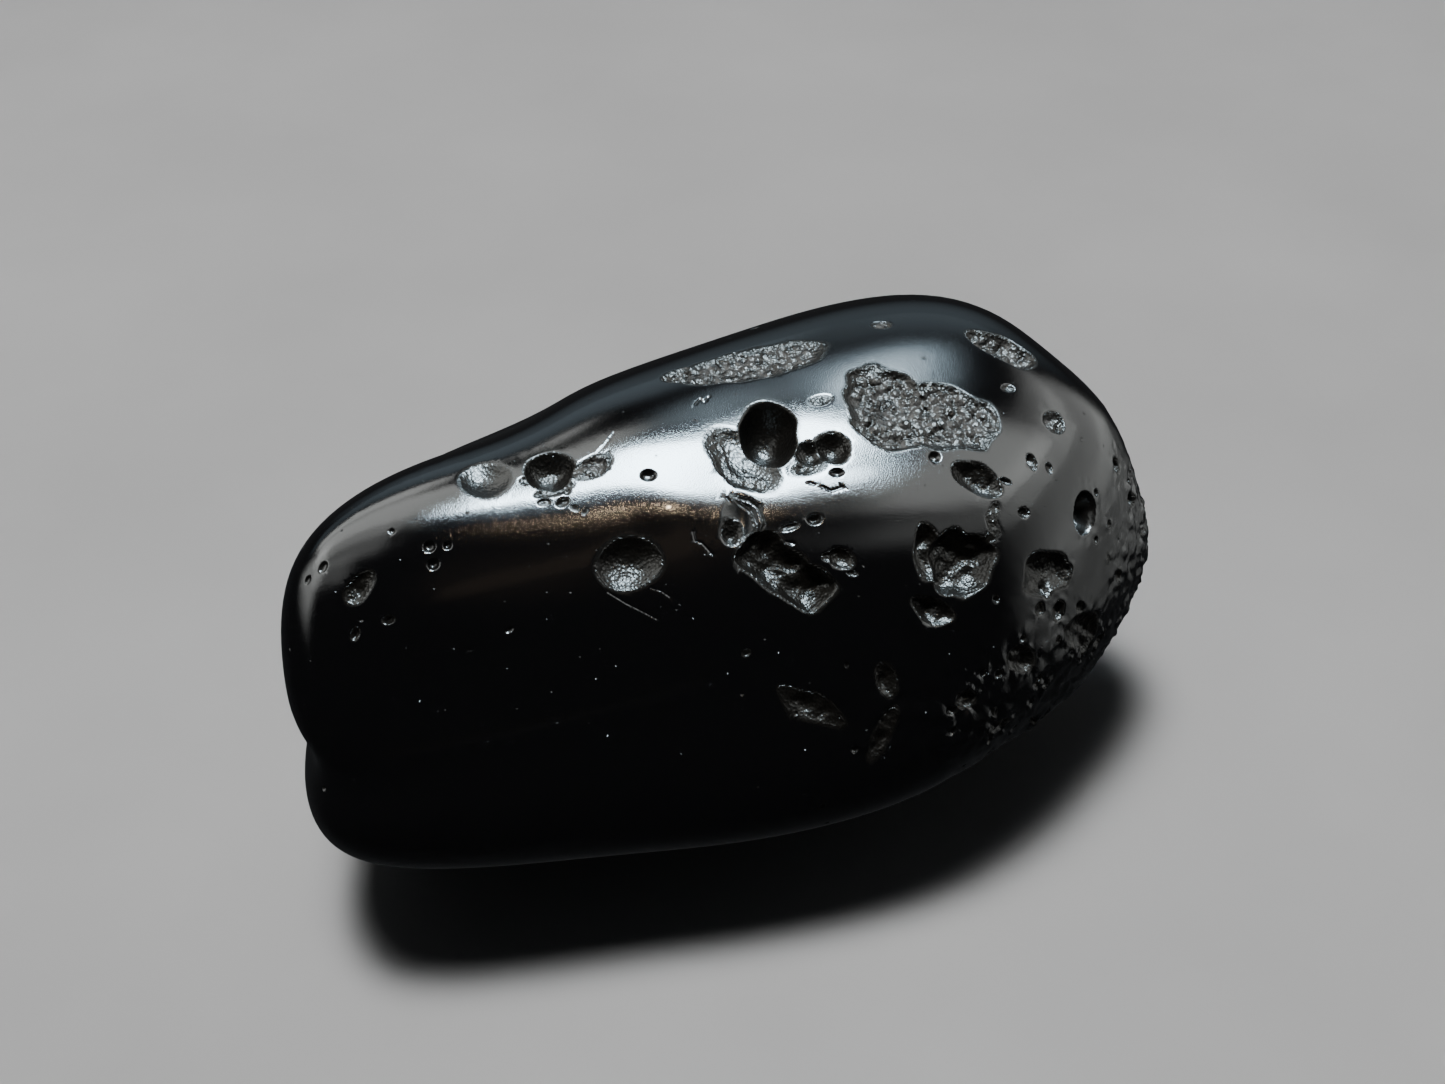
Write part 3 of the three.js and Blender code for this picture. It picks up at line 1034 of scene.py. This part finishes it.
# The panel that lights the floor and throws the shadow: place, size, aim, brightness, colour and
# softness.
KEY = ((-50, -30, CEILING), (170, 170), (0, 0, 0), 80.0, WHITE, (0.5, 0.5))
# Soft panels overhead. All lengths are shares of a panel's height above the stone's heart.
# name: left, right, near and far edges, brightness, colour, how far the left and right edges fade,
# how far the near and far edges fade
OVERHEAD = {
    "core": (0.08, 0.42, -0.10, 0.36, 140.0, BLUISH, 0.05, 0.05),
    "core_right": (0.37, 0.51, -0.135, 0.04, 100.0, BLUISH, 0.06, 0.05),
    "core_fringe": (0.38, 0.50, 0.0, 0.40, 9.0, BLUISH, 0.06, 0.1),
    "core_toe": (0.14, 0.27, -0.30, -0.05, 3.0, BLUISH, 0.04, 0.12),
    "under_core": (0.22, 0.62, -0.27, 0.0, 2.5, NEUTRAL, 0.06, 0.08),
    "far_core": (0.26, 0.46, 0.30, 1.12, 14.0, BLUISH, 0.08, 0.35),
    "far_spread": (0.08, 0.54, 0.34, 1.2, 2.2, BLUISH, 0.1, 0.3),
    "left_edge": (-0.03, 0.14, -0.10, 0.64, 1.6, NEUTRAL, 0.05, 0.1),
    "left_near": (-1.6, 0.12, -0.02, 0.67, 1.6, NEUTRAL, 0.06, 0.1),
    "left_mid": (-1.6, 0.08, -0.32, 0.67, 1.2, NEUTRAL, 0.08, 0.15),
    "left_deep": (-1.6, 0.0, -0.75, 0.67, 1.1, NEUTRAL, 0.1, 0.2),
    "left_front": (-1.9, -0.25, -1.35, -0.4, 0.9, NEUTRAL, 0.2, 0.3),
    "left_far": (-1.9, -0.16, 0.57, 1.17, 3.6, NEUTRAL, 0.12, 0.16),
    "back_left": (-3.2, 0.15, 1.2, 3.4, 0.3, BLUISH, 0.2, 0.3),
    "back": (0.1, 1.3, 1.2, 3.4, 0.16, BLUISH, 0.2, 0.3),
    "right": (0.52, 1.9, -0.46, 0.42, 2.7, NEUTRAL, 0.12, 0.15),
    "right_far": (0.82, 3.2, 0.30, 1.5, 1.1, NEUTRAL, 0.25, 0.25),
    "right_wide": (1.75, 3.2, -0.9, 0.5, 1.0, NEUTRAL, 0.3, 0.3),
    "right_front": (0.62, 2.0, -1.0, -0.35, 0.8, NEUTRAL, 0.25, 0.25),
    "amber": (0.318, 0.352, -0.405, -0.315, 420.0, AMBER_WHITE, 0.02, 0.04),
    "amber_halo": (0.29, 0.40, -0.50, -0.24, 1.1, AMBER, 0.04, 0.1),
    "amber_glow": (0.26, 0.42, -0.68, -0.24, 0.9, BROWN, 0.08, 0.25),
    "amber_streak": (0.40, 0.53, -2.2, -0.45, 0.35, BROWN, 0.04, 0.4),
}
# Soft panels that stand around the stone.
# name: place, size, aim, brightness, colour, softness
UPRIGHT = {
    "left_wall": ((-500, -150, 330), (650, 580), (0, -150, 330), 2.4, NEUTRAL, (0.25, 0.25)),
    "right_wall": ((500, 220, 150), (800, 600), (0, 220, 150), 1.0, NEUTRAL, (0.2, 0.2)),
    "right_glow": ((430, 150, -130), (700, 330), (0, 0, -60), 0.3, NEUTRAL, (0.3, 0.3)),
    "back_wall": ((0, 620, 260), (1000, 620), (0, 0, 260), 0.25, BLUISH, (0.3, 0.3)),
}


ROOM_COLOUR = (0.9, 0.95, 1, 1)
ROOM_BRIGHTNESS = 0.02


def hang_panel(name, height, left, right, near, far, brightness, colour, side_fade, end_fade):
    """A level panel at that height, with its edges and fades given as shares of the height."""
    width, length = right - left, far - near
    place = np.array([(left + right) / 2, (near + far) / 2, 1]) * height
    below = place * (1, 1, 0)
    size = (width * height, length * height)
    softness = (side_fade / width, end_fade / length)
    add_panel(name, place, size, below, brightness, colour, softness)


def add_lights():
    """The soft panels and the dim room around them."""
    add_panel("key", *KEY, lit="diffuse")
    for i, (name, values) in enumerate(OVERHEAD.items()):
        hang_panel(name, CEILING - i * CEILING_STEP, *values)
    for name, values in UPRIGHT.items():
        add_panel(name, *values)
    world = bpy.data.worlds.new("dim_room")
    world.use_nodes = True
    tree = Tree(world.node_tree)
    glow = {"Color": ROOM_COLOUR, "Strength": ROOM_BRIGHTNESS}
    air = tree.add("ShaderNodeBackground", None, glow)
    tree.add("ShaderNodeOutputWorld", None, {"Surface": air})
    bpy.context.scene.world = world


add_camera()
add_floor()
add_lights()
stone = tektite()
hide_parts("tektite")
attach(stone, "root")
